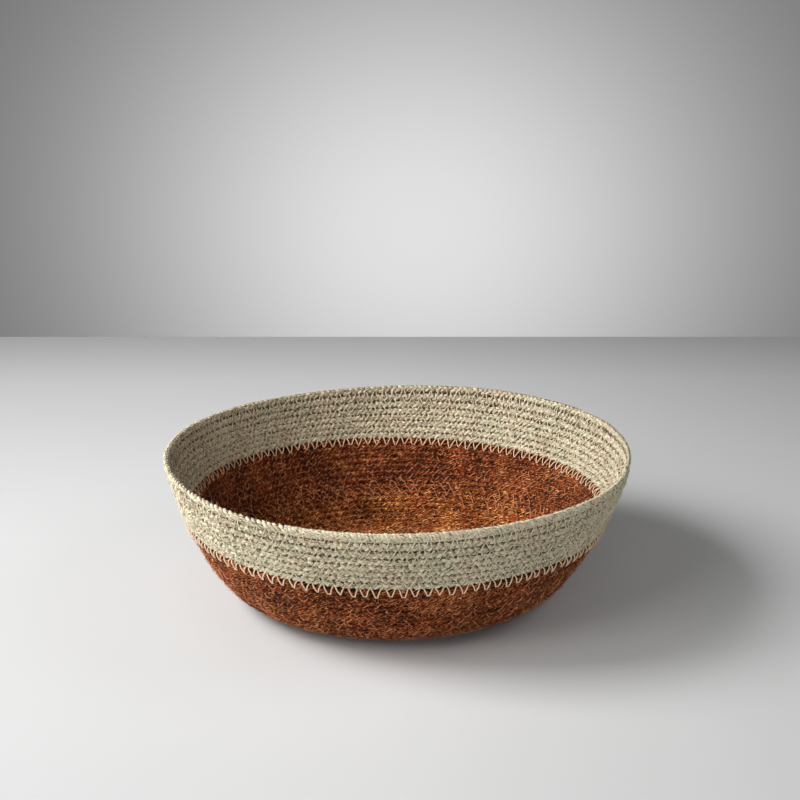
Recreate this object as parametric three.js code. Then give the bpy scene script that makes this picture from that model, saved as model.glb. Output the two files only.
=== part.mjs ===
// A round, open bowl of braided cord, wound as one flat spiral for the base and up the wall,
// each course sewn to the one below. Millimetres, +Z up, the front of the bowl towards -Y.
import * as THREE from "three";

// The cord and the way it is wound.
const cordPitch = 5.435; // from the middle of one course to the middle of the next
const cordThickness = 5.6; // through the wall
const courseGap = 0.5; // left open between neighbouring courses and at the butted ends
const stepsPerTurn = 24;
const firstCourse = 0.5; // in turns from the middle of the base
const baseTurns = 16;
const heelTurns = 8.5;
const lowerWallTurns = 7 + 7 / 8;
const upperWallTurns = 8;
const endAzimuth = 345; // degrees, where the last course ends; it winds clockwise seen from above
const taperTurns = 2 / stepsPerTurn; // the last stretch of the rim course that thins out
const taperEnd = 0.4; // share of the cord left at its tip

// The middle line of the wall, from the middle of the base outwards.
const baseReach = 90; // radius where the flat base ends
const turnRadius = 45;
const turnAngle = THREE.MathUtils.degToRad(54);
const wallRadius = 205.5;
const standShare = 0.1; // of the cord's thickness, what the floor cuts off the lowest courses
const hollowDepth = 1.4; // how far the middle of the base is drawn up
const standCourses = 3.2; // outer base courses that stand on the floor

// The zigzag sewing at the colour change.
const threadDiameter = 1;
const threadClearance = 0.3;
const stitchesPerTurn = 120;
const stitchTop = 0.42; // in courses above the groove
const stitchBottom = 0.95; // in courses below the groove
const stitchFoot = 0.2; // share of the stitch length that runs level at its bottom

const heelStart = firstCourse + baseTurns;
const lowerWallStart = heelStart + heelTurns;
const upperWallStart = lowerWallStart + lowerWallTurns;
const lastCourse = upperWallStart + upperWallTurns;
const fullTurn = 2 * Math.PI;
const cordWidth = cordPitch - courseGap;
const baseHeight = cordThickness * (0.5 - standShare);
const hollowReach = baseReach - standCourses * cordPitch;

// Radius, height and slope of the middle line after a length measured along it.
function profileAt(length) {
  const beyondBase = length - baseReach;
  if (beyondBase <= 0) {
    const inward = Math.max(0, (hollowReach - length) / hollowReach);
    const raised = hollowDepth * (1 - (1 - inward) ** 2);
    return { radius: length, height: baseHeight + raised, slope: 0 };
  }
  const turn = Math.min(beyondBase / turnRadius, turnAngle);
  let radius = baseReach + turnRadius * Math.sin(turn);
  let height = baseHeight + turnRadius * (1 - Math.cos(turn));
  let slope = turn;
  const beyondTurn = beyondBase - turnRadius * turnAngle;
  if (beyondTurn > 0) {
    slope = turnAngle + beyondTurn / wallRadius;
    radius += wallRadius * (Math.sin(slope) - Math.sin(turnAngle));
    height += wallRadius * (Math.cos(turnAngle) - Math.cos(slope));
  }
  return { radius, height, slope };
}

function azimuthOf(course) {
  return THREE.MathUtils.degToRad(endAzimuth) + (lastCourse - course) * fullTurn;
}

// A point of the wall: along it by up, out of it by out, at a course number on the spiral.
function wallPoint(course, up, out, aroundScale = 1) {
  const at = profileAt(course * cordPitch);
  const radius = at.radius + up * Math.cos(at.slope) + out * Math.sin(at.slope);
  const height = at.height + up * Math.sin(at.slope) - out * Math.cos(at.slope);
  const azimuth = azimuthOf(course);
  const reach = radius * aroundScale;
  return new THREE.Vector3(reach * Math.cos(azimuth), reach * Math.sin(azimuth), height);
}

// Six-sided and four-sided cord sections as [along the wall, out of the wall], outermost point first.
function cordSection(sides) {
  const halfWidth = cordWidth / 2;
  const halfThickness = cordThickness / 2;
  if (sides === 4) {
    return [
      [0, halfThickness],
      [halfWidth, 0],
      [0, -halfThickness],
      [-halfWidth, 0],
    ];
  }
  const shoulder = halfThickness / 2;
  return [
    [0, halfThickness],
    [halfWidth, shoulder],
    [halfWidth, -shoulder],
    [0, -halfThickness],
    [-halfWidth, -shoulder],
    [-halfWidth, shoulder],
  ];
}

// The outermost point of a section below the floor becomes two points on the floor.
function standOnFloor(ring) {
  const foot = ring[0];
  if (foot.z >= 0) return [foot.clone(), ...ring];
  const towards = (other) => foot.clone().lerp(other, foot.z / (foot.z - other.z));
  const first = towards(ring[ring.length - 1]);
  const second = towards(ring[1]);
  first.z = 0;
  second.z = 0;
  return [first, second, ...ring.slice(1)];
}

// One closed mesh from rings of equal length, with flat ends; collapsed faces are left out.
function tubeGeometry(rings) {
  const corners = [];
  const addFace = (a, b, c) => {
    if (a.equals(b) || b.equals(c) || c.equals(a)) return;
    for (const corner of [a, b, c]) corners.push(corner.x, corner.y, corner.z);
  };
  for (let i = 0; i + 1 < rings.length; i++) {
    const near = rings[i];
    const far = rings[i + 1];
    for (let j = 0; j < near.length; j++) {
      const next = (j + 1) % near.length;
      addFace(near[j], near[next], far[j]);
      addFace(near[next], far[next], far[j]);
    }
  }
  const start = rings[0];
  const end = rings[rings.length - 1];
  for (let j = 1; j + 1 < start.length; j++) {
    addFace(start[0], start[j + 1], start[j]);
    addFace(end[0], end[j], end[j + 1]);
  }
  const geometry = new THREE.BufferGeometry();
  geometry.setAttribute("position", new THREE.Float32BufferAttribute(corners, 3));
  geometry.computeVertexNormals();
  return geometry;
}

// The rings of one length of cord, one each step, with half a gap kept at both butted ends.
function coilRings(from, to, sides) {
  const section = cordSection(sides);
  const count = Math.round((to - from) * stepsPerTurn);
  const rings = [];
  for (let i = 0; i <= count; i++) {
    let course = from + i / stepsPerTurn;
    const endShift = courseGap / 2 / (fullTurn * profileAt(course * cordPitch).radius);
    if (i === 0) course += endShift;
    if (i === count) course -= endShift;
    const left = THREE.MathUtils.clamp((lastCourse - course) / taperTurns, 0, 1);
    const share = taperEnd + (1 - taperEnd) * left;
    const lowered = (share - 1) * (cordWidth / 2);
    const ring = section.map(([up, out]) => wallPoint(course, up * share + lowered, out * share));
    rings.push(standOnFloor(ring));
  }
  return rings;
}

// Radius of the faceted coil over that of its corners, between two of its steps.
function facetScale(course) {
  const half = Math.PI / stepsPerTurn;
  const step = fullTurn / stepsPerTurn;
  const along = ((((course - firstCourse) * fullTurn) % step) + step) % step;
  return Math.cos(half) / Math.cos(along - half);
}

// A zigzag of thread that lies on one face of the wall across the groove under the upper cord.
function zigzagRings(side) {
  const out = side * (cordThickness / 2 + threadClearance + threadDiameter / 2);
  const stitch = 1 / stitchesPerTurn;
  const path = [];
  for (let i = 1; i + 1 < stitchesPerTurn; i++) {
    const course = upperWallStart + i * stitch;
    const corners = [
      [0, stitchTop],
      [(1 - stitchFoot) / 2, -stitchBottom],
      [(1 + stitchFoot) / 2, -stitchBottom],
    ];
    for (const [along, up] of corners) path.push([course + along * stitch, up]);
  }
  const points = path.map(([course, up]) =>
    wallPoint(course, (up - 0.5) * cordPitch, out, facetScale(course)),
  );
  const radius = threadDiameter / 2;
  return points.map((point, i) => {
    const before = point.clone().sub(points[Math.max(i - 1, 0)]);
    const after = points[Math.min(i + 1, points.length - 1)].clone().sub(point);
    if (i === 0) before.copy(after);
    if (i === points.length - 1) after.copy(before);
    before.normalize();
    after.normalize();
    const [course] = path[i];
    const outward = wallPoint(course, 0, 1).sub(wallPoint(course, 0, 0));
    const across = before.clone().add(after).normalize().cross(outward).normalize();
    const spread = radius / Math.max(0.5, across.dot(after.clone().cross(outward).normalize()));
    const ring = [];
    for (let k = 0; k < 3; k++) {
      const angle = (k * fullTurn) / 3;
      const lift = side * radius * Math.cos(angle);
      const aside = side * spread * Math.sin(angle);
      ring.push(point.clone().addScaledVector(outward, lift).addScaledVector(across, aside));
    }
    return ring;
  });
}

// The least distance between points of one tube that lie more than a share of a turn apart.
function leastGap(rings, apart) {
  const dense = [];
  rings.forEach((ring, i) => {
    const next = rings[Math.min(i + 1, rings.length - 1)];
    ring.forEach((point, j) => {
      dense.push({ at: i, point });
      dense.push({ at: i + 0.5, point: point.clone().lerp(next[j], 0.5) });
    });
  });
  let least = Infinity;
  dense.forEach((one, i) => {
    for (let j = i + 1; j < dense.length; j++) {
      if (Math.abs(dense[j].at - one.at) < apart) continue;
      least = Math.min(least, one.point.distanceTo(dense[j].point));
    }
  });
  return least;
}

const naturalJute = new THREE.MeshStandardMaterial({ color: 0xc8b894, roughness: 0.95, metalness: 0 });
const rustJute = new THREE.MeshStandardMaterial({ color: 0x8a4726, roughness: 0.95, metalness: 0 });
const sewingThread = new THREE.MeshStandardMaterial({ color: 0xe3d2ae, roughness: 0.8, metalness: 0 });

const basket = new THREE.Group();
basket.name = "coiled_cord_basket";

function addPiece(name, rings, material, apart) {
  const mesh = new THREE.Mesh(tubeGeometry(rings), material);
  mesh.name = name;
  basket.add(mesh);
  console.log(name + " least gap to itself " + leastGap(rings, apart).toFixed(3) + " mm");
}

const halfTurnApart = stepsPerTurn / 2;
const stitchApart = 3;
addPiece("base_coil", coilRings(firstCourse, heelStart, 4), rustJute, halfTurnApart);
addPiece("heel_coil", coilRings(heelStart, lowerWallStart, 4), rustJute, halfTurnApart);
addPiece("lower_wall_coil", coilRings(lowerWallStart, upperWallStart, 4), rustJute, halfTurnApart);
addPiece("upper_wall_coil", coilRings(upperWallStart, lastCourse, 6), naturalJute, halfTurnApart);
addPiece("seam_thread_outside", zigzagRings(1), sewingThread, stitchApart);
addPiece("seam_thread_inside", zigzagRings(-1), sewingThread, stitchApart);

// The origin is the middle of the bowl's outline on the floor.
const bounds = new THREE.Box3().setFromObject(basket);
const middle = bounds.getCenter(new THREE.Vector3());
basket.position.set(-middle.x, -middle.y, -bounds.min.z);
const size = bounds.getSize(new THREE.Vector3());
console.log("outline " + size.toArray().map((side) => side.toFixed(2)).join(" x ") + " mm");
console.log("moved by " + basket.position.toArray().map((side) => side.toFixed(3)).join(" ") + " mm");

export default basket;
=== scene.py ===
import math

import bpy
import numpy as np
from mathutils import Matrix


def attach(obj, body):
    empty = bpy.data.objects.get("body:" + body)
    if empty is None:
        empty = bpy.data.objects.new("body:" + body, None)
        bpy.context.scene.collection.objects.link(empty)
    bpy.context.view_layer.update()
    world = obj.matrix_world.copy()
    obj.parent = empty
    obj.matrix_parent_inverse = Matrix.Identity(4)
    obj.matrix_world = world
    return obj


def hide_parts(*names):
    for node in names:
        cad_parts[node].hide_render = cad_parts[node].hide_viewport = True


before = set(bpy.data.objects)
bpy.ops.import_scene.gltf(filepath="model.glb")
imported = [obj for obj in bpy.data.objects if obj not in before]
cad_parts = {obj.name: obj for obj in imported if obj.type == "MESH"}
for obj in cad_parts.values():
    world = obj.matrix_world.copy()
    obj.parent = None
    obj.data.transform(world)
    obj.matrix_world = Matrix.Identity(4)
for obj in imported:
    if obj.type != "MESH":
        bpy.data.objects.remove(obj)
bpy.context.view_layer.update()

mm = 0.001
fullTurn = 2 * math.pi

# The winding, in the same sizes as the solids. Course numbers count turns from the middle.
winding = {
    "pitch": 5.435 * mm,  # from the middle of one course to the middle of the next
    "thickness": 5.6 * mm,  # of the cord, through the wall
    "baseReach": 90 * mm,  # radius where the flat base ends
    "turnRadius": 45 * mm,  # of the arc that turns the base up into the wall
    "turnAngle": math.radians(54),
    "wallRadius": 205.5 * mm,  # of the wall's own slow curve
    "standShare": 0.1,  # of the cord's thickness, what the floor takes off the lowest courses
    "hollow": 1.4 * mm,  # how far the middle of the base is drawn up
    "standCourses": 3.2,  # outer base courses that stand on the floor
    "first": 0.5,  # course numbers where each length of cord begins
    "heel": 16.5,
    "lowerWall": 25,
    "upperWall": 32.875,
    "last": 40.875,  # and where the rim ends
    "endAzimuth": math.radians(345),
    "shift": (0.21 * mm, -0.282 * mm),  # from the spiral's axis to the middle of the outline
    "taper": 1 / 12,  # turns over which the rim end thins out
    "taperEnd": 0.4,  # share of the cord that is left at its tip
}


# 0 up to start, 1 from end on and straight between. End may also lie before start.
def grow(x, start, end):
    return np.clip((x - start) / (end - start), 0, 1)


# Radius, height and slope of the wall's middle line at a length along it: flat, then an arc of
# turnRadius through turnAngle, then an arc of wallRadius. A parabola lifts the middle of the base.
def middleLine(length):
    baseReach = winding["baseReach"]
    turnRadius = winding["turnRadius"]
    wallRadius = winding["wallRadius"]
    beyond = np.maximum(length - baseReach, 0)
    turn = np.minimum(beyond / turnRadius, winding["turnAngle"])
    slope = turn + np.maximum(beyond - turnRadius * winding["turnAngle"], 0) / wallRadius
    radius = np.minimum(length, baseReach) + turnRadius * np.sin(turn)
    radius = radius + wallRadius * (np.sin(slope) - np.sin(turn))
    height = winding["thickness"] * (0.5 - winding["standShare"])
    height = height + turnRadius * (1 - np.cos(turn))
    height = height + wallRadius * (np.cos(turn) - np.cos(slope))
    inward = grow(length, baseReach - winding["standCourses"] * winding["pitch"], 0)
    return radius, height + winding["hollow"] * (1 - (1 - inward) ** 2), slope


# Azimuth of a course number: a turn less for each course, so clockwise as seen from above.
def azimuthOf(course):
    return winding["endAzimuth"] + (winding["last"] - course) * fullTurn


waveShares = (1.0, 0.61, 0.37, 0.23)  # size and period of each sine in a wander
wanderReach = 1.5  # about the highest that they add up to


# Sum of a few sines with seeded phases: a smooth wander between about -1 and 1.
def wander(x, seed, period):
    rng = np.random.default_rng(seed)
    total = np.zeros_like(x, dtype=float)
    for share in waveShares:
        total += np.sin(fullTurn * x / (period * share) + rng.uniform(0, fullTurn)) * share
    return total / wanderReach


# A wander by its settings: size times a wander of that period, seeded from the seed given.
def wanderBy(settings, x, seed=0):
    return settings["size"] * wander(x, seed + settings["seed"], settings["period"])


# What the hands that sewed it left. Rim and seam wave up and down round the bowl, the wall leans
# in and out and the rim spreads: sizes of 1, cos a, sin a, cos 2a, sin 2a, cos 3a and sin 3a at
# azimuth a. The rows of every course wander a little too.
handmade = {
    "rim": np.array([0.3, -0.3, 0.2, 1.6, 0.35, -0.7, -0.3]) * mm,
    "seam": np.array([0.05, -2.6, 0.9, 2.15, -0.25, -0.15, 0.05]) * mm,
    "lean": np.array([-1.05, -1.7, -0.4, 0.05, 0.6, 0.4, -0.95]) * mm,
    "leanOver": 10,  # courses above the heel in which the lean grows
    "flare": np.array([0.8, -0.85, 0, 0.8, 0, 0, 0]) * mm,  # of the rim, most at the left
    "askew": (-1.2 * mm, 3.4 / 105),  # to the right, at the floor and for each metre above it
    "rowOut": {"size": 0.22 * mm, "seed": 12, "period": 0.23},  # periods in courses
    "rowUp": {"size": 0.12 * mm, "seed": 11, "period": 0.31},
    "rowOver": 17,  # courses from the middle in which the wander out of the wall grows
    # the pale courses are not evenly wide: where on the wall, and by how many courses they shift
    "courseAt": [32.6, 33.6, 34.6, 35.6, 36.6, 37.6, 38.6, 39.6, 40.6],
    "courseBy": [0, -0.02, -0.13, -0.26, -0.33, -0.43, -0.37, -0.25, 0],
}


# A handmade wave at an azimuth: its sizes times 1, cos a, sin a, cos 2a and so on, added up.
def wave(name, azimuth):
    turns = [np.ones_like(azimuth)]
    for n in (1, 2, 3):
        turns += [np.cos(n * azimuth), np.sin(n * azimuth)]
    return np.tensordot(handmade[name], np.stack(turns), 1)


# A point at a course number, up along the wall and out of it, and the directions there:
# radius + up * cos(slope) + out * sin(slope) from the axis, height + up * sin(slope)
# - out * cos(slope) above the floor. grown runs from 0 at the heel to 1 at the seam, climbed from
# 0 at the seam to 1 at the rim.
def wallPoint(course, up, out):
    azimuth = azimuthOf(course)
    level = course + up / winding["pitch"]
    grown = grow(level, winding["heel"], winding["upperWall"])
    climbed = grow(level, winding["upperWall"], winding["last"])
    rise = grown * (1 - climbed) * wave("seam", azimuth)
    rise = rise + climbed * wave("rim", azimuth)
    leaning = grow(level, winding["heel"], winding["heel"] + handmade["leanOver"])
    shift = np.interp(level, handmade["courseAt"], handmade["courseBy"]) * winding["pitch"]
    up = up + rise + shift + wanderBy(handmade["rowUp"], course)
    out = out + wave("lean", azimuth) * leaning + climbed**3 * wave("flare", azimuth)
    rows = wanderBy(handmade["rowOut"], course)
    out = out + rows * np.minimum(course / handmade["rowOver"], 1)
    radius, height, slope = middleLine(course * winding["pitch"])
    sin, cos = np.sin(slope), np.cos(slope)
    reach = radius + up * cos + out * sin
    height = height + up * sin - out * cos
    around = np.stack([np.cos(azimuth), np.sin(azimuth)], -1)
    place = np.concatenate([reach[..., None] * around, height[..., None]], -1)
    place[..., :2] += winding["shift"]
    place[..., 0] += handmade["askew"][0] + handmade["askew"][1] * height
    outward = np.concatenate([sin[..., None] * around, -cos[..., None]], -1)
    upward = np.concatenate([cos[..., None] * around, sin[..., None]], -1)
    return place, outward, upward


# Length of cord from the start up to each course number, the sum of turn times radius, to place
# things evenly along it.
tableSteps = 60001
courseTable = np.linspace(winding["first"], winding["last"], tableSteps)
tableRadius = middleLine(courseTable * winding["pitch"])[0]
lengthTable = np.concatenate(
    [[0], np.cumsum(fullTurn * (tableRadius[1:] + tableRadius[:-1]) / 2 * np.diff(courseTable))]
)
print("cord", round(float(lengthTable[-1]), 2), "m")


# Length of cord at a course number, read off that table.
def lengthAt(course):
    return np.interp(course, courseTable, lengthTable)


# Course number at a length of cord, read off it the other way.
def courseAt(length):
    return np.interp(length, lengthTable, courseTable)


leastLength = 1e-12  # keeps a zero vector zero


# Vectors over their lengths.
def unit(vectors):
    return vectors / np.maximum(np.linalg.norm(vectors, axis=-1, keepdims=True), leastLength)


# Tubes: an elliptical section carried along each path of a batch. paths is tubes x points x 3 and
# facing the way that the thick half axis leans; the wide one stands square to it and to the path.
# Corner n of a ring is path + side * wide * sin(angle n) + face * thick * cos(angle n). The UV map
# runs in metres along the tube, and over girth round it.
def tubeBatch(paths, facing, wide, thick, sides, girth):
    count, points, _ = paths.shape
    tangent = unit(np.gradient(paths, axis=1))
    side = unit(np.cross(tangent, facing))
    face = np.cross(side, tangent)
    angle = np.arange(sides) * fullTurn / sides
    wide = np.broadcast_to(wide, (count, points))[..., None, None]
    thick = np.broadcast_to(thick, (count, points))[..., None, None]
    corners = (
        paths[:, :, None, :]
        + side[:, :, None, :] * wide * np.sin(angle)[:, None]
        + face[:, :, None, :] * thick * np.cos(angle)[:, None]
    )
    base = np.arange(count)[:, None, None] * points * sides
    ring = base + np.arange(points - 1)[None, :, None] * sides
    here = np.arange(sides)[None, None, :]
    there = (here + 1) % sides
    quads = np.stack([ring + here, ring + there, ring + sides + there, ring + sides + here], -1)
    firstCap = base[:, 0] + np.arange(sides)[::-1]
    lastCap = base[:, 0] + (points - 1) * sides + np.arange(sides)
    steps = np.linalg.norm(np.diff(paths, axis=1), axis=-1)
    along = np.concatenate([np.zeros((count, 1)), np.cumsum(steps, axis=1)], 1)
    low, high, left, right = np.broadcast_arrays(
        along[:, :-1, None], along[:, 1:, None], here * girth / sides, (here + 1) * girth / sides
    )
    uv = np.stack([low, left, low, right, high, right, high, left], -1)
    capUv = np.zeros((2 * count, sides, 2))
    return {
        "corners": corners.reshape(-1, 3),
        "quads": quads.reshape(-1, 4),
        "caps": np.concatenate([firstCap, lastCap]),
        "uv": np.concatenate([uv.reshape(-1, 2), capUv.reshape(-1, 2)]),
        "perTube": points * sides,
    }


# Painted light from above on the dyed cord: 1 on the faces that look up inside on the base and
# where it turns up, 0 on the wall and outside. It grows with how far a corner lies above the
# wall's middle line, and inwards from the wall.
thinningAndTopLight = {"depth": 1 * mm, "from": 132 * mm, "over": 12 * mm}
lineEnd, lineSteps = 150 * mm, 400
lineRadius, lineHeight, _ = middleLine(np.linspace(0, lineEnd, lineSteps))


def paintTopLight(corners):
    radius = np.hypot(*(corners[:, :2] - winding["shift"]).T)
    above = corners[:, 2] - np.interp(radius, lineRadius, lineHeight)
    inward = grow(radius, thinningAndTopLight["from"], thinningAndTopLight["from"] - thinningAndTopLight["over"])
    return grow(above, 0, thinningAndTopLight["depth"]) * inward


# One mesh object from batches of tubes; tints holds one number for each tube of each batch, kept
# on its corners.
def addTubes(name, batches, tints, material):
    corners, faces, sizes, uv, tint, offset = [], [], [], [], [], 0
    for batch, shades in zip(batches, tints):
        corners.append(batch["corners"])
        for kind in ("quads", "caps"):
            faces.append((batch[kind] + offset).ravel())
            sizes.append(np.full(len(batch[kind]), batch[kind].shape[1]))
        uv.append(batch["uv"])
        tint.append(np.repeat(shades, batch["perTube"]))
        offset += len(batch["corners"])
    corners, faces, sizes, uv = map(np.concatenate, (corners, faces, sizes, uv))
    mesh = bpy.data.meshes.new(name)
    mesh.vertices.add(len(corners))
    mesh.vertices.foreach_set("co", corners.ravel())
    mesh.loops.add(len(faces))
    mesh.loops.foreach_set("vertex_index", faces)
    mesh.polygons.add(len(sizes))
    mesh.polygons.foreach_set("loop_start", np.cumsum(sizes) - sizes)
    mesh.polygons.foreach_set("use_smooth", np.ones(len(sizes), dtype=bool))
    lay = mesh.uv_layers.new(name="lay")
    lay.data.foreach_set("uv", uv.ravel())
    tintLayer = mesh.attributes.new("tint", "FLOAT", "POINT")
    tintLayer.data.foreach_set("value", np.concatenate(tint))
    # each corner's share of painted light from above
    topLightLayer = mesh.attributes.new("topLight", "FLOAT", "POINT")
    topLightLayer.data.foreach_set("value", paintTopLight(corners))
    mesh.update(calc_edges=True)
    mesh.validate()
    mesh.materials.append(material)
    piece = bpy.data.objects.new(name, mesh)
    bpy.context.scene.collection.objects.link(piece)
    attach(piece, "root")
    print(name, int(np.sum(sizes - 2)), "triangles")
    return piece


# sRGB hex to linear, with full alpha.
def hexColour(text):
    parts = [int(text[i : i + 2], 16) / 255 for i in (1, 3, 5)]
    return [p / 12.92 if p <= 0.04045 else ((p + 0.055) / 1.055) ** 2.4 for p in parts] + [1]


# Adds a node, sets its fields, its unlinked sockets and the stops of a colour ramp, each a position
# and a colour, and links the other sockets by name or number.
def addNode(tree, kind, fields=None, inputs=None, stops=None):
    node = tree.nodes.new(kind)
    for key, value in (fields or {}).items():
        setattr(node, key, value)
    for key, value in (inputs or {}).items():
        socket = node.inputs[key]
        if isinstance(value, bpy.types.NodeSocket):
            tree.links.new(value, socket)
        else:
            socket.default_value = value
    if stops:
        elements = node.color_ramp.elements
        while len(elements) < len(stops):
            elements.new(0.5)
        for element, (position, colour) in zip(elements, stops):
            element.position = position
            element.color = hexColour(colour)
    return node


# An empty node material and its tree.
def newMaterial(name):
    material = bpy.data.materials.new(name)
    material.use_nodes = True
    material.node_tree.nodes.clear()
    return material, material.node_tree


# What all the fibre patterns share.
fibre = {
    "patch": 25 * mm,  # across the patches of dye or bleach
    "hue": 18 * mm,  # across the patches of another hue
    "tintShade": 0.15,  # how far a tube's tint moves it along the colour stops
    "tintShift": 37.0,  # how far it moves the strokes, so that no two tubes show the same ones
    "waveRate": fullTurn / 20,  # the wave texture's bands repeat after this over its scale
}


# Fibre: bundles of raw stalk fibre laid slantwise round each strand, shown as pale strokes over a
# darker body. look holds the colour stops, the stroke's width and length, the angle of its lay,
# and how wide the bands of ply are. Strokes, patches, tint and plies add up to a level, and the
# stops turn it into a colour. The strokes and plies also raise the bump, so part of that colour
# is painted light: paler on the crests, painted highlight, and darker in the hollows, painted
# shade; the rest is fibre whose tone differs at random. Real fibre is finer than 0.1 mm, so the
# strokes stand for bundles of it.
def fibreMaterial(name, look):
    material, tree = newMaterial(name)
    lay = addNode(tree, "ShaderNodeUVMap", {"uv_map": "lay"})
    tint = addNode(tree, "ShaderNodeAttribute", {"attribute_name": "tint"})
    place = addNode(tree, "ShaderNodeTexCoord")
    apart = addNode(tree, "ShaderNodeVectorMath", {"operation": "SCALE"},
                    {0: tint.outputs["Vector"], "Scale": fibre["tintShift"]})
    turned = addNode(tree, "ShaderNodeMapping", {"vector_type": "POINT"},
                     {"Vector": lay.outputs["UV"], "Rotation": (0, 0, look["slant"])})
    stretched = addNode(tree, "ShaderNodeVectorMath", {"operation": "MULTIPLY"},
                        {0: turned.outputs["Vector"],
                         1: (1 / look["long"], 1 / look["wide"], 0)})
    moved = addNode(tree, "ShaderNodeVectorMath", {"operation": "ADD"},
                    {0: stretched.outputs["Vector"], 1: apart.outputs["Vector"]})
    strokes = addNode(tree, "ShaderNodeTexNoise", None,
                      {"Vector": moved.outputs["Vector"], "Scale": 1.0, "Detail": 1.0,
                       "Roughness": 0.5})
    plies = addNode(tree, "ShaderNodeTexWave", {"bands_direction": "Y"},
                    {"Vector": turned.outputs["Vector"],
                     "Scale": fibre["waveRate"] / look["ply"], "Distortion": 0.0})
    patches = addNode(tree, "ShaderNodeTexNoise", None,
                      {"Vector": place.outputs["Object"], "Scale": 1 / fibre["patch"],
                       "Detail": 2.0})
    patched = addNode(tree, "ShaderNodeMath", {"operation": "MULTIPLY_ADD"},
                      {0: patches.outputs["Fac"], 1: look["patchy"], 2: strokes.outputs["Fac"]})
    tinted = addNode(tree, "ShaderNodeMath", {"operation": "MULTIPLY_ADD"},
                     {0: tint.outputs["Fac"], 1: fibre["tintShade"],
                      2: patched.outputs["Value"]})
    # the bands of ply darken the colour where the bump sinks them: painted shade
    plied = addNode(tree, "ShaderNodeMath", {"operation": "MULTIPLY_ADD"},
                    {0: plies.outputs["Fac"], 1: look["plyShade"], 2: tinted.outputs["Value"]})
    # strokes, patches, tint and plies are each a half on average
    middle = 0.5 + (look["patchy"] + fibre["tintShade"] + look["plyShade"]) / 2
    level = addNode(tree, "ShaderNodeMapRange", None,
                    {"Value": plied.outputs["Value"], "From Min": middle - look["spread"],
                     "From Max": middle + look["spread"]})
    colour = addNode(tree, "ShaderNodeValToRGB", None, {"Fac": level.outputs["Result"]},
                     look["stops"])
    hues = addNode(tree, "ShaderNodeTexNoise", None,
                   {"Vector": place.outputs["Object"], "Scale": 1 / fibre["hue"],
                    "Detail": 1.0})
    cast = addNode(tree, "ShaderNodeValToRGB", None, {"Fac": hues.outputs["Fac"]},
                   look["casts"])
    # sockets 6 and 7 of a colour mix are its two colours, and output 2 is what comes out
    dyed = addNode(tree, "ShaderNodeMix", {"data_type": "RGBA", "blend_type": "MULTIPLY"},
                   {0: 1.0, 6: colour.outputs["Color"], 7: cast.outputs["Color"]})
    # where the faces of the base inside look up, painted light from above multiplies the colour up
    topLight = addNode(tree, "ShaderNodeAttribute", {"attribute_name": "topLight"})
    topLit = addNode(tree, "ShaderNodeVectorMath", {"operation": "MULTIPLY"},
                      {0: dyed.outputs[2], 1: look["topLit"]})
    final = addNode(tree, "ShaderNodeMix", {"data_type": "RGBA"},
                    {0: topLight.outputs["Fac"], 6: dyed.outputs[2], 7: topLit.outputs["Vector"]})
    # the bump rises and falls with the same strokes and plies that set the colour, so its hollows
    # are painted darker and its crests paler
    ridges = addNode(tree, "ShaderNodeMath", {"operation": "MULTIPLY_ADD"},
                     {0: plies.outputs["Fac"], 1: look["plyRelief"],
                      2: strokes.outputs["Fac"]})
    relief = addNode(tree, "ShaderNodeBump", None,
                     {"Height": ridges.outputs["Value"], "Distance": look["relief"],
                      "Strength": 1.0})
    surface = addNode(tree, "ShaderNodeBsdfPrincipled", None,
                      {"Base Color": final.outputs[2], "Roughness": look["rough"],
                       "Normal": relief.outputs["Normal"], "Specular IOR Level": look["shine"],
                       "Sheen Weight": look["sheen"], "Sheen Roughness": 0.5,
                       "Sheen Tint": hexColour(look["sheenTint"])})
    addNode(tree, "ShaderNodeOutputMaterial", None, {"Surface": surface.outputs["BSDF"]})
    return material


paleCasts = [(0.35, "#fbfff8"), (0.5, "#fefff9"), (0.68, "#fffbf5")]  # greenish to pinkish
dyeCasts = [(0.35, "#ffe6dc"), (0.5, "#fff8f2"), (0.68, "#fffde2")]  # wine to orange
# plyShade darkens the colour in the grooves that plyRelief raises in the bump: painted shade
cordLook = {"wide": 0.55 * mm, "long": 5 * mm, "slant": 0.5, "ply": 1.6 * mm, "plyShade": 0.1,
            "plyRelief": 0.6, "rough": 0.9, "sheenTint": "#ffffff", "topLit": (1, 1, 1)}
threadLook = {"casts": [(0.4, "#fff8f0"), (0.6, "#fff0e6")], "wide": 0.4 * mm,
              "long": 1.5 * mm, "slant": 0.6, "ply": 0.8 * mm, "plyShade": 0.1,
              "plyRelief": 0.5, "patchy": 0.2, "spread": 0.3, "relief": 0.1 * mm, "rough": 0.7,
              "shine": 0.3, "sheen": 0.1, "sheenTint": "#ffffff", "topLit": (1, 1, 1)}
hairLook = {"wide": 0.4 * mm, "long": 6 * mm, "slant": 0.0, "ply": 1 * mm, "plyShade": 0.0,
            "plyRelief": 0.0, "patchy": 0.3, "spread": 0.3, "relief": 0.05 * mm, "rough": 0.7,
            "shine": 0.2, "sheen": 0.0, "sheenTint": "#ffffff", "topLit": (1, 1, 1)}
# dry, matt and pale; its bright strokes and dark chinks are partly painted highlight and painted
# shade
naturalJute = fibreMaterial("natural jute braid", {
    **cordLook, "casts": paleCasts, "patchy": 0.15, "spread": 0.25, "shine": 0.25, "sheen": 0.1,
    "relief": 0.5 * mm,
    "stops": [(0, "#463a26"), (0.25, "#aa9b80"), (0.55, "#e3d6bd"), (1, "#ebe3d1")],
})
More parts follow.
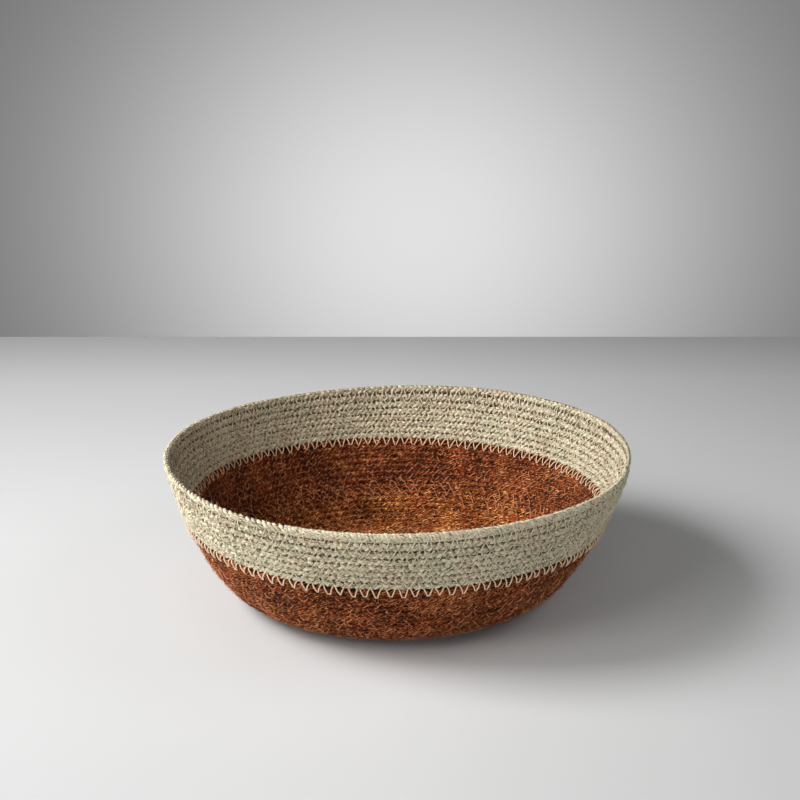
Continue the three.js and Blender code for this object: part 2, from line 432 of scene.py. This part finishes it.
# the same cord soaked in rust dye, paler on its outer fibres and near black in its chinks, partly
# painted highlight and painted shade; the three factors below multiply its colour up where the
# faces of the base inside look up, as painted light from above
rustJute = fibreMaterial("dyed jute braid", {
    **cordLook, "casts": dyeCasts, "patchy": 0.26, "spread": 0.17, "shine": 0.12, "sheen": 0.15,
    "sheenTint": "#f0b68a", "relief": 0.42 * mm, "topLit": (1.65, 2.1, 2.0),
    "stops": [(0, "#150500"), (0.3, "#491903"), (0.6, "#924115"), (1, "#fcae74")],
})
# smoother and cleaner than the cord, with a fine twist
seamCotton = fibreMaterial("cotton seam thread", {
    **threadLook, "stops": [(0, "#c9b497"), (0.4, "#ecd9bd"), (1, "#fff2df")],
})
# the thread of the pale courses, as pale and dry as their cord
naturalThread = fibreMaterial("undyed sewing thread", {
    **threadLook, "casts": paleCasts,
    "stops": [(0, "#a8997e"), (0.4, "#dfd0b7"), (1, "#f6eddc")],
})
# the thread of the dyed courses, lighter than their cord
rustThread = fibreMaterial("dyed sewing thread", {
    **threadLook, "stops": [(0, "#8e4c2c"), (0.4, "#c48157"), (1, "#e6b08a")],
})
# single fibres, brighter than the mass because light passes through them
naturalHair = fibreMaterial("loose natural jute fibre", {
    **hairLook, "casts": paleCasts, "stops": [(0, "#c4b796"), (1, "#fff6e0")],
})
rustHair = fibreMaterial("loose dyed jute fibre", {
    **hairLook, "casts": dyeCasts, "stops": [(0, "#803f21"), (0.5, "#b06b40"), (1, "#e1ad86")],
})
print("materials made")

outside, inside = 1, -1  # the faces of the wall

# The sewing: a zigzag along each groove, down over the lower course and up over the upper one.
# A stitch goes down one leg, along its foot and up the other to a short level head. top and foot
# are its reach above and below the groove, in courses.
sewing = {
    "stitch": 7.85 * mm,  # length along the groove
    "top": 0.36,
    "topUneven": 0.1,  # how unevenly high and low they reach, as shares of top and foot
    "foot": 0.5,
    "footUneven": 0.09,
    "headShare": 0.06,  # shares of the stitch that run level at its top and foot
    "footShare": 0.2,
    "footSpread": 0,  # how unevenly long the feet are
    "footAt": 0.5,  # where in the stitch the middle of its foot lies
    "proud": 0,  # how much further out of the wall than its thread's cover
    "hidden": -1.3 * mm,  # and how much less where a leg is drawn into the braid
    "shown": [0.3, 0.3],  # share of the down and up legs that show; the rest are drawn in
    "jog": 0.05,  # how unevenly the stitches follow one another, in stitches
    # the points of a leg: how far down it and how far along it each lies, evenly and so straight,
    # and how far it stands out of the cord, from sunk to cover
    "fall": [0, 0.2, 0.45, 0.75, 1],
    "run": [0, 0.2, 0.45, 0.75, 1],
    "stand": [0, 0.75, 1, 1, 0.85],
}


# The braid: three strands that pass over one another round a thin core. Strand k runs at
# up = half * sin(turn), out = lift * sin(2 * turn), turn = phase + k/3 turn, so that each crosses
# from one edge to the other over its neighbours and back under them. Along the front of the rim
# they wind round the core as a rope instead: up = rimHalf * sin(turn), out = rimLift * cos(turn).
braid = {
    "lay": 13 * mm,  # length in which one strand comes back to the same edge
    "sway": {"size": 0.5, "seed": 0, "period": 90 * mm},  # of its phase, in radians
    "rimLay": 7.2 * mm,  # the lay of the rope
    "rimHalf": 1.75 * mm,  # and the half axes of the path of its strands
    "rimLift": 1.0 * mm,
    "rimDrop": 0.3 * mm,  # how far below the middle of the cord it lies
    "half": 1.35 * mm,
    "lift": 1.25 * mm,
    "wide": 1.3 * mm,  # half axes of a strand
    "thick": 1.15 * mm,
    "sides": 8,
    "girth": 8 * mm,  # round it, on the UV map
    "swell": {"size": 0.1, "seed": 5, "period": 20 * mm},  # of its thickness, as a share
    "strayOut": {"size": 0.15 * mm, "seed": 20, "period": 13 * mm},
    "strayUp": {"size": 0.15 * mm, "seed": 30, "period": 17 * mm},
    "tintSteps": (0.37, 0.31),  # in tint from seed to seed and from strand to strand
    "phaseStep": 1 * mm,  # along the cord, to work out its phase
    "endRoom": 0.1,  # share of a station's step that stays free at both ends
    "seamDrop": 0.9 * mm,  # how far the top edge of the last dyed course is drawn down
    "seamFlat": 0.3,  # share of its lift that it loses there
    "notch": 0.05,  # share that the sewing pulls the rope in by at each stitch
    "notchAzimuth": math.radians(225),  # most of all at the front left
    "pinch": 0.5,  # share that it draws the edges of every course in by where it dives
}
# the dyed cord lies flatter, its strands swollen by the dye
dyedBraid = {**braid, "half": 1.15 * mm, "lift": 0.85 * mm, "wide": 1.2 * mm, "thick": 1.1 * mm,
             "pinch": 0.12}

# The rim, which is the last course, is a rope from rimStart to rimTurn. The braid fades into it
# over a twentieth of a turn before that, and back over a quarter of a turn after it.
rimStart = winding["last"] - 1
rimTurn = winding["last"] - 0.72
rimFade = {"in": 0.05, "out": 0.25}

# The core that fills the cord, and a flat web that reaches into the next course, so that no light
# comes through. Tints below 0 paint the cores and webs darker than the strands: painted shade
# deep in the cord and in the grooves between courses. The core lies bare at the colour change,
# where it is painted a little darker as shade under the seam, and in the rope along the front of
# the rim, where it is a little lighter.
core = {"girth": 16 * mm, "step": 5 * mm}
coreDyed = {"wide": 2.62 * mm, "thick": 1.95 * mm, "drop": 0, "tint": 0, "sides": 10}
webDyed = {"wide": 3.6 * mm, "thick": 0.7 * mm, "drop": 0, "tint": -1.3, "sides": 6}
coreSeam = {**coreDyed, "wide": 3.4 * mm, "thick": 1.7 * mm, "tint": -0.2}
corePale = {"wide": 3.9 * mm, "thick": 1.2 * mm, "drop": 0, "tint": -1.1, "sides": 6}
coreRim = {"wide": 3.15 * mm, "thick": 1.9 * mm, "drop": -0.35 * mm, "tint": 0.4, "sides": 14}
coreRimBack = {**coreRim, "thick": 1.3 * mm, "tint": -1.1}
webRim = {"wide": 3.7 * mm, "thick": 0.8 * mm, "drop": -1.4 * mm, "tint": -1.1, "sides": 6}
seamStart = winding["upperWall"] - 1  # where the last dyed course begins
coreStretches = [
    (winding["first"], seamStart, coreDyed),
    (winding["first"], seamStart, webDyed),
    (seamStart, winding["upperWall"], coreSeam),
    (winding["upperWall"], rimStart, corePale),
    (rimStart, winding["last"], webRim),
    (rimStart, rimTurn, coreRim),
    (rimTurn, winding["last"], coreRimBack),
]


# Share of its full size that the cord has: all of it, but falling to taperEnd over the rim's end.
def taperAt(course):
    left = np.clip((winding["last"] - course) / winding["taper"], 0, 1)
    return winding["taperEnd"] + (1 - winding["taperEnd"]) * left


# How far the cord sinks towards the course below where it is a share of its full size.
def sinkAt(share):
    return (share - 1) * winding["pitch"] / 2


# 1 where the sewing pulls hardest, once each stitch, 0 between: a raised cosine to the fourth.
def pullAt(length):
    return (0.5 + 0.5 * np.cos(fullTurn * length / sewing["stitch"])) ** 4


# 1 where the cord is laid up as a rope and 0 where it is a braid.
def ropeAt(course):
    fadedIn = grow(course, rimStart - rimFade["in"], rimStart)
    return fadedIn * grow(course, rimTurn + rimFade["out"], rimTurn)


# Phase of the first strand along the cord: a full turn for each lay, tighter along the rope.
def strandPhase(cord, seed, length):
    rimFrom = lengthAt(rimStart)
    tight = np.clip(length - rimFrom, 0, lengthAt(rimTurn) - rimFrom)
    tight = tight * (1 / cord["rimLay"] - 1 / cord["lay"])
    return fullTurn * (length / cord["lay"] + tight) + wanderBy(cord["sway"], length, seed)


# Path of strand k where it has turned by turn at a length along the cord, by the formula above,
# with the directions out of the wall and the strand's share of its full size.
def strandPath(cord, seed, k, length, turn):
    course = courseAt(length)
    onRope = ropeAt(course)
    frontLeft = np.maximum(np.cos(azimuthOf(course) - cord["notchAzimuth"]), 0) ** 2
    share = taperAt(course) * (1 - cord["notch"] * onRope * frontLeft * pullAt(length))
    half = cord["half"] * (1 - onRope) + cord["rimHalf"] * onRope
    up = half * np.sin(turn) * share - cord["rimDrop"] * onRope
    above = pullAt(lengthAt(course + 1)) * (course < rimStart)
    up = up * (1 - cord["pinch"] * np.where(up > 0, above, pullAt(length)))
    lastDyed = (course > seamStart) & (course < winding["upperWall"])
    topEdge = lastDyed * np.clip(up / cord["half"], 0, 1)
    up = up - cord["seamDrop"] * topEdge + sinkAt(share)
    flat = (1 - cord["seamFlat"] * topEdge) * (1 - onRope)
    out = cord["lift"] * np.sin(2 * turn) * share * flat
    out = out + cord["rimLift"] * np.cos(turn) * share * onRope
    out = out + wanderBy(cord["strayOut"], length, seed + k)
    up = up + wanderBy(cord["strayUp"], length, seed + k)
    place, outward, _ = wallPoint(course, up, out)
    return place, outward, share


# One tube from a path, kept above the floor by its height there.
def tubeOnFloor(place, outward, wide, thick, lowest, sides, girth):
    place[:, 2] = np.maximum(place[:, 2], lowest)
    return tubeBatch(place[None], outward[None], wide, thick, sides, girth)


# The three strands of a length of cord, with points stations in each lay, at the same phases in
# all three. Each has its own tint.
def strandTubes(fromCourse, toCourse, cord, seed, points):
    start, end = lengthAt(fromCourse), lengthAt(toCourse)
    fine = np.linspace(start, end, int((end - start) / cord["phaseStep"]))
    phase = strandPhase(cord, seed, fine)
    step = fullTurn / points
    room = cord["endRoom"]
    seedTint, strandTint = cord["tintSteps"]
    tubes, tints = [], []
    for k in range(3):
        turns = phase + k * fullTurn / 3
        stops = np.arange(np.ceil(turns[0] / step + room), turns[-1] / step - room) * step
        length = np.concatenate([[start], np.interp(stops, turns, fine), [end]])
        turn = np.concatenate([[turns[0]], stops, [turns[-1]]])
        place, outward, share = strandPath(cord, seed, k, length, turn)
        swell = 1 + wanderBy(cord["swell"], length, seed + k)
        tubes.append(tubeOnFloor(place, outward, cord["wide"] * (share * swell),
                                 cord["thick"] * (share * swell), cord["thick"] * swell,
                                 cord["sides"], cord["girth"]))
        tints.append(np.array([(seed * seedTint + k * strandTint) % 1.0]))
    return tubes, tints


# The cores and webs of a length of cord, each along the middle of the wall, lowered by its drop.
def coreTubes(fromCourse, toCourse):
    tubes, tints = [], []
    for low, high, kind in coreStretches:
        start, end = lengthAt(max(low, fromCourse)), lengthAt(min(high, toCourse))
        if end > start:
            course = courseAt(np.linspace(start, end, int((end - start) / core["step"]) + 2))
            share = taperAt(course)
            place, outward, _ = wallPoint(course, sinkAt(share) + kind["drop"], 0 * course)
            tubes.append(tubeOnFloor(place, outward, kind["wide"] * share, kind["thick"] * share,
                                     kind["thick"], kind["sides"], core["girth"]))
            # a tint below 0 paints the core or web darker: painted shade
            tints.append(np.array([kind["tint"]]))
    return tubes, tints


# One length of cord in several pieces, cut at the course numbers in stops, so that none is too
# heavy to handle. points is the number of stations in each lay of the braid.
def addBraid(name, stops, cord, material, node, points, seed):
    for i, (fromCourse, toCourse) in enumerate(zip(stops, stops[1:])):
        strands, strandTints = strandTubes(fromCourse, toCourse, cord, seed, points)
        cores, coreTints = coreTubes(fromCourse, toCourse)
        piece = addTubes(f"{name}_{i + 1}", strands + cores, strandTints + coreTints, material)
        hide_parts(node)


# The start of the cord, turned in across the middle of the base to close it.
cordStart = {"reach": 2.8 * mm, "wide": 3.0 * mm, "thick": 1.6 * mm, "points": 5, "sides": 10}


# A short straight tube from -reach to reach along the wall, at course number 0.
def addStart():
    across = np.linspace(-cordStart["reach"], cordStart["reach"], cordStart["points"])
    place, outward, _ = wallPoint(0 * across, across, 0 * across)
    tube = tubeBatch(place[None], outward[None], cordStart["wide"], cordStart["thick"],
                     cordStart["sides"], core["girth"])
    piece = addTubes("braid_start", [tube], [np.array([coreDyed["tint"]])], rustJute)
    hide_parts("base_coil")


addStart()
dyedSeed, paleSeed = 101, 105
addBraid("braid_base", [winding["first"], 11, winding["heel"]], dyedBraid, rustJute,
         "base_coil", points=8, seed=dyedSeed)
addBraid("braid_heel", [winding["heel"], 21, winding["lowerWall"]], dyedBraid, rustJute,
         "heel_coil", points=10, seed=dyedSeed)
addBraid("braid_lower_wall", [winding["lowerWall"], 29, winding["upperWall"]], dyedBraid,
         rustJute, "lower_wall_coil", points=10, seed=dyedSeed)
addBraid("braid_upper_wall", [winding["upperWall"], 36, 39, winding["last"]], braid,
         naturalJute, "upper_wall_coil", points=12, seed=paleSeed)


# One unbroken zigzag of thread over a span of courses, on one side of the wall. Point n of a
# stitch lies at its phase along the stitch, top - (top + foot) * fall above the groove, and
# sunk + (cover - sunk) * stand + proud out of the middle of the wall.
def zigzagTube(span, side, thread, seed):
    shape = {**sewing, **span}
    rng = np.random.default_rng(seed)
    stitch = shape["stitch"]
    start = np.ceil(lengthAt(shape["from"]) / stitch) * stitch
    end = lengthAt(shape["to"])
    count = int((end - start) / stitch)
    head = shape["headShare"] / 2
    footShare = shape["footShare"] * (1 + shape["footSpread"] * rng.uniform(-1, 1, (count, 1)))
    footStart = shape["footAt"] - footShare / 2
    footEnd = shape["footAt"] + footShare / 2
    run = np.array(shape["run"])
    phase = np.concatenate([head + run * (footStart - head),
                            1 - head - run[::-1] * (1 - head - footEnd)], 1)
    fall = np.concatenate([shape["fall"], shape["fall"][::-1]])
    stand = np.concatenate([shape["stand"], shape["stand"][::-1]])
    jog = rng.normal(0, shape["jog"], (count, 1))
    along = ((np.arange(count)[:, None] + jog + phase) * stitch).ravel() + start
    top = shape["top"] * (1 + rng.normal(0, shape["topUneven"], (count, 1)))
    foot = shape["foot"] * (1 + rng.normal(0, shape["footUneven"], (count, 1)))
    up = (top - (top + foot) * fall).ravel() * winding["pitch"]
    proud = rng.normal(shape["proud"], thread["uneven"], (count, 2))
    shown = rng.uniform(size=(count, 2)) < shape["shown"]
    proud = np.repeat(np.where(shown, proud, shape["hidden"]), len(run), axis=1)
    proud = proud + rng.normal(0, thread["ragged"], proud.shape)
    out = (thread["sunk"] + (thread["cover"] - thread["sunk"]) * stand + proud).ravel()
    course = courseAt(np.clip(along, start, end))
    place, outward, _ = wallPoint(course, up - winding["pitch"] / 2, side * out)
    radius = thread["radius"]
    return tubeOnFloor(place, outward, radius, radius, radius, thread["sides"],
                       radius * fullTurn)


threadTint = 0.5


# One piece of sewing, a zigzag for each span, which may stand for nodes of the solids.
def addSewing(name, spans, side, thread, material, seed, nodes=()):
    tubes = [zigzagTube(span, side, thread, seed + i) for i, span in enumerate(spans)]
    piece = addTubes(name, tubes, [np.array([threadTint])] * len(tubes), material)
    if nodes:
        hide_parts(*nodes)


# loose loops where the wall turns up: round heads and a long slanting leg
curls = {"top": 0.4, "foot": 0.55, "proud": 0.4 * mm, "shown": [0.75, 0.3], "footShare": 0.06,
         "footAt": 0.68, "run": [0, 0.45, 0.7, 0.9, 1], "jog": 0.12}
sewnFrom = 1.6  # course number where the sewing begins, and where the curls begin and end
curlFrom, curlTo = 24.4, 27.2
seamEnd = winding["upperWall"] + 1
dyedSpans = [{"from": sewnFrom, "to": winding["upperWall"], "shown": [0.22, 0.16], "foot": 0.35}]
curlSpans = [{"from": sewnFrom, "to": curlFrom, "shown": [0.3, 0.05]},
             {"from": curlFrom, "to": curlTo, **curls},
             {"from": curlTo, "to": winding["upperWall"], "shown": [0.05, 0.35], "foot": 0.35}]
naturalSpans = [{"from": seamEnd, "to": rimStart, "shown": [0.6, 0.6],
                 "top": 0.32, "foot": 0.42, "headShare": 0.14},
                {"from": rimStart, "to": winding["last"] - winding["taper"],
                 "shown": [0.95, 0.95], "top": 0.3, "foot": 0.62, "headShare": 0.2}]
seamSpans = [{"from": winding["upperWall"], "to": seamEnd, "top": 0.15, "foot": 0.94,
              "headShare": 0.24, "footShare": 0.16, "footSpread": 0.8, "footAt": 0.45,
              "shown": [1, 1]}]
# the legs outside leave the groove at a slant, which keeps them straight as they are seen
outerSeamSpans = [{**seamSpans[0], "run": [0, 0.36, 0.62, 0.85, 1]}]
# cover is how far out of the wall's middle a thread rides over the cords, sunk where it dives;
# most of the sewing of the dyed courses is drawn into the braid and only comes up here and there
fieldThread = {"radius": 0.38 * mm, "cover": 2.15 * mm, "sunk": 1.2 * mm, "sides": 3,
               "uneven": 0.2 * mm, "ragged": 0.12 * mm}
innerThread = {**fieldThread, "radius": 0.33 * mm}
paleThread = {**fieldThread, "radius": 0.45 * mm, "cover": 2.3 * mm}
seamThread = {"radius": 0.43 * mm, "cover": 2.8 * mm, "sunk": 1.1 * mm, "sides": 6,
              "uneven": 0.08 * mm, "ragged": 0.04 * mm}
innerSeamThread = {**seamThread, "radius": 0.36 * mm}
addSewing("sewing_dyed_outside", dyedSpans, outside, fieldThread, rustThread,
          seed=201)
addSewing("sewing_dyed_inside", curlSpans, inside, innerThread, rustThread,
          seed=211)
addSewing("sewing_natural_outside", naturalSpans, outside, paleThread, naturalThread,
          seed=221)
addSewing("sewing_natural_inside", naturalSpans, inside, paleThread, naturalThread,
          seed=231)
addSewing("sewing_seam_outside", outerSeamSpans, outside, seamThread, seamCotton,
          seed=241, nodes=["seam_thread_outside"])
addSewing("sewing_seam_inside", seamSpans, inside, innerSeamThread, seamCotton,
          seed=251, nodes=["seam_thread_inside"])

# Loose fibre: hairs that spring from the cord and bend over.
hair = {
    "radius": 0.1 * mm,
    "points": 4,
    "sides": 3,
    "girth": 0.5 * mm,
    "thinningAndTopLight": [1.1, 1.1, 0.9, 0.4],  # radius of each point, as shares
    "rootOut": 2.2 * mm,  # from the middle of the wall, at the cord's crown
    "fallBack": 3,  # how fast the cord falls back from there towards its edges
    "turn": 0.8,  # spread of its direction about the cord's, in radians
    "lift": 0.5,  # how steeply it leaves the cord, and the spread of that
    "liftSpread": 0.25,
    "reachSpread": 0.25,
    "bend": 0.4,  # how far it bends aside
    "sag": (0.1, 0.8),  # and back to the cord, least and most
    "clear": 1.3,  # radii above the floor
    "facingTurn": 0.01,  # a hair may point straight out, so what it faces is turned a little
}


# Hairs at random along a stretch of cord. Each runs from its root by
# root + reach * (heading * t + bend * t * t), with t from 0 at the root to 1 at the tip. Roots lie
# from lowest to half a course above the cord's middle, and draw in with the cord at its end.
def addHair(name, fromCourse, toCourse, count, reach, side, material, slot, seed, lowest=-0.5):
    rng = np.random.default_rng(seed)
    course = courseAt(rng.uniform(lengthAt(fromCourse), lengthAt(toCourse), count))
    level = rng.uniform(lowest, 0.5, count)
    share = taperAt(course)
    out = side * hair["rootOut"] * np.sqrt(1 - hair["fallBack"] * level**2) * share
    up = level * share * winding["pitch"] + sinkAt(share)
    root, outward, upward = wallPoint(course, up, out)
    outward = outward * side
    onward = np.cross(outward, upward)
    turn = rng.normal(0, hair["turn"], count)
    turn = turn + np.where(rng.uniform(size=count) < 0.5, 0, math.pi)
    flat = onward * np.cos(turn)[:, None] + upward * np.sin(turn)[:, None]
    lift = np.abs(rng.normal(hair["lift"], hair["liftSpread"], count))[:, None]
    size = (reach * rng.lognormal(0, hair["reachSpread"], count))[:, None, None]
    heading = unit(flat + outward * lift)
    aside = np.cross(heading, outward) * rng.normal(0, hair["bend"], (count, 1))
    bend = aside - outward * rng.uniform(*hair["sag"], (count, 1)) * lift
    t = np.linspace(0, 1, hair["points"])[None, :, None]
    paths = root[:, None] + size * (heading[:, None] * t + bend[:, None] * t * t)
    paths[..., 2] = np.maximum(paths[..., 2], hair["clear"] * hair["radius"])
    thick = hair["radius"] * np.array(hair["thinningAndTopLight"])[None]
    facing = np.broadcast_to(outward[:, None] + hair["facingTurn"], paths.shape)
    batch = tubeBatch(paths, facing, thick, thick, hair["sides"], hair["girth"])
    piece = addTubes(name, [batch], [rng.uniform(0, 1, count)], material)


dyedHair = {"material": rustHair, "slot": "rust_braid"}
paleHair = {"material": naturalHair, "slot": "natural_braid"}
baseFrom, baseTo = 0.6, winding["heel"] + 4  # course numbers of the fibre on the base
dyedTo = winding["upperWall"] - 0.5
addHair("fibre_base_inside", baseFrom, baseTo, count=2200, reach=3.5 * mm, side=inside,
        seed=301, **dyedHair)
addHair("fibre_base_under", baseFrom, winding["heel"], count=500, reach=3 * mm, side=outside,
        seed=302, **dyedHair)
addHair("fibre_dyed_wall_inside", baseTo, dyedTo, count=2600, reach=3.5 * mm, side=inside,
        seed=303, **dyedHair)
addHair("fibre_dyed_wall_outside", winding["heel"], dyedTo, count=6500, reach=3 * mm,
        side=outside, seed=304, **dyedHair)
addHair("fibre_pale_wall_inside", winding["upperWall"], winding["last"], count=2600,
        reach=2.2 * mm, side=inside, seed=305, **paleHair)
addHair("fibre_pale_wall_outside", winding["upperWall"], winding["last"], count=3000,
        reach=2.2 * mm, side=outside, seed=306, **paleHair)
addHair("fibre_rim", winding["last"] - 0.5, winding["last"], count=1100, reach=2.2 * mm,
        side=inside, seed=307, lowest=0.35, **paleHair)

# The table and the wall behind it, in metres: one sheet each. The wall stands well behind the
# table's edge, so that a camera behind the bowl still stands in front of it.
studio = {"tableFront": -3.0, "tableEnd": 0.768, "wallAt": 1.7, "halfWidth": 6.0,
          "wallFoot": -1.0, "wallTop": 5.0}


# A flat sheet right across, from one y and z to another.
def addSheet(name, near, far, material):
    half = studio["halfWidth"]
    corners = [(-half, *near), (half, *near), (half, *far), (-half, *far)]
    mesh = bpy.data.meshes.new(name)
    mesh.from_pydata(corners, [], [(0, 1, 2, 3)])
    mesh.materials.append(material)
    sheet = bpy.data.objects.new(name, mesh)
    bpy.context.scene.collection.objects.link(sheet)


# The table's greys, a painted falloff of the light, from the front to its end and from left to
# right, in metres.
table = {
    "front": -0.3,
    "depth": [(0, "#cecece"), (0.35, "#d8d8d8"), (0.8, "#d4d4d4"), (1, "#bfbfbf")],
    "left": -0.5,
    "right": 0.6,
    "width": [(0, "#e2e2e2"), (0.45, "#ffffff"), (0.62, "#fdfdfd"), (1, "#e6e6e6")],
}


# Painted board, matt and pale, with painted light in its grey: a little greyer towards its far end
# and its sides, as the light falls off; the grey of its depth times that of its width.
def tableMaterial():
    material, tree = newMaterial("matt table with painted light falloff")
    place = addNode(tree, "ShaderNodeTexCoord")
    split = addNode(tree, "ShaderNodeSeparateXYZ", None, {"Vector": place.outputs["Object"]})
    back = addNode(tree, "ShaderNodeMapRange", None,
                   {"Value": split.outputs["Y"], "From Min": table["front"],
                    "From Max": studio["tableEnd"]})
    depth = addNode(tree, "ShaderNodeValToRGB", None, {"Fac": back.outputs["Result"]},
                    table["depth"])
    aside = addNode(tree, "ShaderNodeMapRange", None,
                    {"Value": split.outputs["X"], "From Min": table["left"],
                     "From Max": table["right"]})
    width = addNode(tree, "ShaderNodeValToRGB", None, {"Fac": aside.outputs["Result"]},
                    table["width"])
    grey = addNode(tree, "ShaderNodeMix", {"data_type": "RGBA", "blend_type": "MULTIPLY"},
                   {0: 1.0, 6: depth.outputs["Color"], 7: width.outputs["Color"]})
    surface = addNode(tree, "ShaderNodeBsdfPrincipled", None,
                      {"Base Color": grey.outputs[2], "Roughness": 0.6})
    addNode(tree, "ShaderNodeOutputMaterial", None, {"Surface": surface.outputs["BSDF"]})
    return material


# Backdrop paper with a painted pool of light behind the bowl that falls away to grey at the edges,
# grey = dim + glow * exp(-(distance / reach) ^ (2 * shape)). Middle and reach are in metres.
pool = {"middle": (0.038, 0, -0.0054), "reach": (0.6074, 0.5235), "dim": 0.145, "glow": 0.61,
        "shape": 1.011}


# The backdrop glows with the painted pool for the camera, though it is no lamp, and the rest of the
# scene gets only the light it throws back.
def wallMaterial():
    material, tree = newMaterial("backdrop paper with painted pool of light")
    place = addNode(tree, "ShaderNodeTexCoord")
    moved = addNode(tree, "ShaderNodeVectorMath", {"operation": "SUBTRACT"},
                    {0: place.outputs["Object"], 1: pool["middle"]})
    scaled = addNode(tree, "ShaderNodeVectorMath", {"operation": "MULTIPLY"},
                     {0: moved.outputs["Vector"],
                      1: (1 / pool["reach"][0], 0, 1 / pool["reach"][1])})
    square = addNode(tree, "ShaderNodeVectorMath", {"operation": "DOT_PRODUCT"},
                     {0: scaled.outputs["Vector"], 1: scaled.outputs["Vector"]})
    eased = addNode(tree, "ShaderNodeMath", {"operation": "POWER"},
                    {0: square.outputs["Value"], 1: pool["shape"]})
    fall = addNode(tree, "ShaderNodeMath", {"operation": "MULTIPLY"},
                   {0: eased.outputs["Value"], 1: -1.0})
    glow = addNode(tree, "ShaderNodeMath", {"operation": "EXPONENT"}, {0: fall.outputs["Value"]})
    grey = addNode(tree, "ShaderNodeMath", {"operation": "MULTIPLY_ADD"},
                   {0: glow.outputs["Value"], 1: pool["glow"], 2: pool["dim"]})
    colour = addNode(tree, "ShaderNodeCombineColor", None,
                     {n: grey.outputs["Value"] for n in ("Red", "Green", "Blue")})
    shown = addNode(tree, "ShaderNodeEmission", None,
                    {"Color": colour.outputs["Color"], "Strength": 1.0})
    lit = addNode(tree, "ShaderNodeBsdfDiffuse", None, {"Color": colour.outputs["Color"]})
    ray = addNode(tree, "ShaderNodeLightPath")
    both = addNode(tree, "ShaderNodeMixShader", None,
                   {"Fac": ray.outputs["Is Camera Ray"], 1: lit.outputs["BSDF"],
                    2: shown.outputs["Emission"]})
    addNode(tree, "ShaderNodeOutputMaterial", None, {"Surface": both.outputs["Shader"]})
    return material


wallAt = studio["wallAt"]
addSheet("table_top", (studio["tableFront"], 0), (studio["tableEnd"], 0), tableMaterial())
addSheet("backdrop", (wallAt, studio["wallFoot"]), (wallAt, studio["wallTop"]), wallMaterial())

# Camera: 1350 pixels to the focal length across a picture of 800, looking down 16 degrees from
# the front, in metres and degrees.
view = {"place": (0.0015, -0.9157, 0.3999), "down": 16.04, "focalShare": 1350 / 800,
        "sensor": 36.0, "nearest": 0.01, "furthest": 50}
lens = bpy.data.cameras.new("camera")
lens.sensor_fit = "HORIZONTAL"
lens.sensor_width = view["sensor"]
lens.lens = view["sensor"] * view["focalShare"]
lens.clip_start = view["nearest"]
lens.clip_end = view["furthest"]
camera = bpy.data.objects.new("camera", lens)
camera.location = view["place"]
camera.rotation_euler = (math.radians(90 - view["down"]), 0, 0)
bpy.context.scene.collection.objects.link(camera)
bpy.context.scene.camera = camera

# The light: a window at the left with another in front of it, and what pale walls throw back.
lamps = {
    "window": {"place": (-1.15, -0.1, 1.05), "target": (0, 0, 0.04), "size": (0.7, 0.7),
               "power": 28},
    "second_window": {"place": (-1.0, -0.9, 1.0), "target": (0, 0, 0.05), "size": (0.8, 0.8),
                      "power": 10.2},
    "pale_wall_in_front": {"place": (-0.25, -1.7, 0.5), "target": (0, 0, 0.05),
                           "size": (1.0, 0.6), "power": 5.5},
    "pale_wall_right": {"place": (1.2, 0, 1.0), "target": (0, 0, 0.05), "size": (0.8, 0.8),
                        "power": 4},
}


# A soft rectangular lamp that looks at a point.
def addLamp(name, place, target, size, power):
    light = bpy.data.lights.new(name, "AREA")
    light.shape = "RECTANGLE"
    light.size, light.size_y = size
    light.energy = power
    lamp = bpy.data.objects.new(name, light)
    lamp.location = place
    aim = np.array(target) - np.array(place)
    flat = math.hypot(aim[0], aim[1])
    lamp.rotation_euler = (math.atan2(flat, -aim[2]), 0, math.atan2(-aim[0], aim[1]))
    bpy.context.scene.collection.objects.link(lamp)


for name, settings in lamps.items():
    addLamp(name, **settings)

# A little white light from everywhere, which is all that reaches the deepest shade.
worldStrength = 0.1
world = bpy.data.worlds.new("studio")
bpy.context.scene.world = world
world.use_nodes = True
background = world.node_tree.nodes["Background"]
background.inputs["Color"].default_value = hexColour("#ffffff")
background.inputs["Strength"].default_value = worldStrength
bpy.context.scene.view_settings.view_transform = "Standard"
print("table, backdrop, camera and lamps set")
